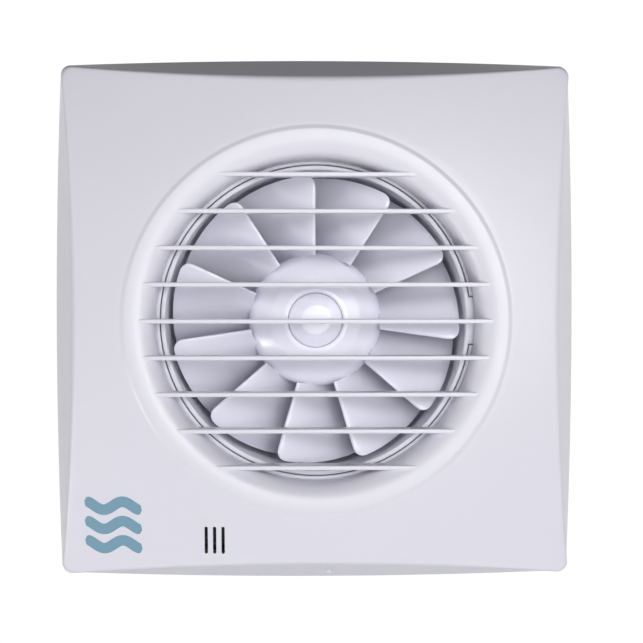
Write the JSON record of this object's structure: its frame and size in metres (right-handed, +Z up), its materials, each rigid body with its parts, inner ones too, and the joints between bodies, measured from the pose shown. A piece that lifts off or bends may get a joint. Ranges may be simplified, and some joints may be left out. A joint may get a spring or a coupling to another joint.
{
  "type": "bathroom extractor fan",
  "caption": "Axial wall extractor fan with a domed square fascia, louvred round inlet, swept-blade impeller and a duct spigot with a backdraught shutter.",
  "frame": {"origin": "on the duct's axis, in the plane of the wall that the back plate rests on", "axes": "+Y into the wall along the spigot, +Z up, +X to the right seen from the room, so the fascia faces -Y"},
  "size_m": [0.162, 0.1041, 0.162],
  "materials": {
    "white_abs": "satin white injection-moulded ABS",
    "impeller_white": "satin white moulded plastic",
    "grey_plastic": "pale grey moulded plastic",
    "black_plastic": "matte black",
    "clear_lens": "clear frosted moulding",
    "zinc_steel": "zinc-plated steel",
    "laminated_steel": "stacked electrical steel",
    "copper_wire": "enamelled copper",
    "brass": "sintered bronze",
    "green_laminate": "solder-masked glass laminate",
    "grey_rubber": "moulded rubber",
    "blue_plastic": "blue moulded plastic",
    "film_epoxy": "yellow film capacitor case"
  },
  "bodies": {
    "housing": {"base_housing": "white_abs", "motor_carrier": "grey_plastic", "motor_can": "zinc_steel", "motor_end_cap": "zinc_steel", "front_bearing": "brass", "rear_bearing": "brass", "stator_core": "laminated_steel", "stator_coil_1": "copper_wire", "stator_coil_2": "copper_wire", "stator_coil_3": "copper_wire", "stator_coil_4": "copper_wire", "motor_screw_1": "zinc_steel", "motor_screw_2": "zinc_steel", "motor_screw_3": "zinc_steel", "motor_lead": "black_plastic", "motor_plug": "white_abs", "circuit_board": "green_laminate", "board_screw_1": "zinc_steel", "board_screw_2": "zinc_steel", "film_capacitor": "film_epoxy", "smoothing_capacitor": "blue_plastic", "control_chip": "black_plastic", "humidity_sensor": "white_abs", "indicator_led": "clear_lens", "timer_trimmer": "blue_plastic", "humidity_trimmer": "blue_plastic", "terminal_block": "grey_plastic", "terminal_screw_1": "zinc_steel", "terminal_screw_2": "zinc_steel", "terminal_screw_3": "zinc_steel", "cable_grommet": "grey_rubber", "cable_clamp": "grey_plastic", "clamp_screw_1": "zinc_steel", "clamp_screw_2": "zinc_steel", "shutter_ring": "grey_plastic", "hinge_pin": "zinc_steel"},
    "impeller": {"impeller": "impeller_white", "hub_cap": "impeller_white", "shaft": "zinc_steel", "rotor": "laminated_steel"},
    "fascia": {"fascia": "white_abs", "indicator_lens": "clear_lens"},
    "flap_left": {"flap_left": "white_abs", "flap_spring_left": "zinc_steel"},
    "flap_right": {"flap_right": "white_abs", "flap_spring_right": "zinc_steel"},
    "timer_adjuster": {"timer_adjuster": "white_abs"},
    "humidity_adjuster": {"humidity_adjuster": "white_abs"}
  },
  "joints": [
    {"name": "impeller_spin", "type": "hinge", "parent": "housing", "child": "impeller", "pos_m": [0, 0, 0], "axis": [0, 1, 0], "continuous": true},
    {"name": "fascia_pull", "type": "slide", "parent": "housing", "child": "fascia", "axis": [0, -1, 0], "range_m": [0, 0.05]},
    {"name": "flap_left_swing", "type": "hinge", "parent": "housing", "child": "flap_left", "pos_m": [0, 0.0663, 0], "axis": [0, 0, -1], "range_deg": [0, 78], "stiffness_Nm_per_rad": 0.002},
    {"name": "flap_right_swing", "type": "hinge", "parent": "housing", "child": "flap_right", "pos_m": [0, 0.0663, 0], "axis": [0, 0, 1], "range_deg": [0, 78], "stiffness_Nm_per_rad": 0.002},
    {"name": "timer_turn", "type": "hinge", "parent": "housing", "child": "timer_adjuster", "pos_m": [-0.0082, -0.011, -0.064], "axis": [0, -1, 0], "range_deg": [-135, 135]},
    {"name": "humidity_turn", "type": "hinge", "parent": "housing", "child": "humidity_adjuster", "pos_m": [0.0138, -0.011, -0.064], "axis": [0, -1, 0], "range_deg": [-135, 135]}
  ]
}
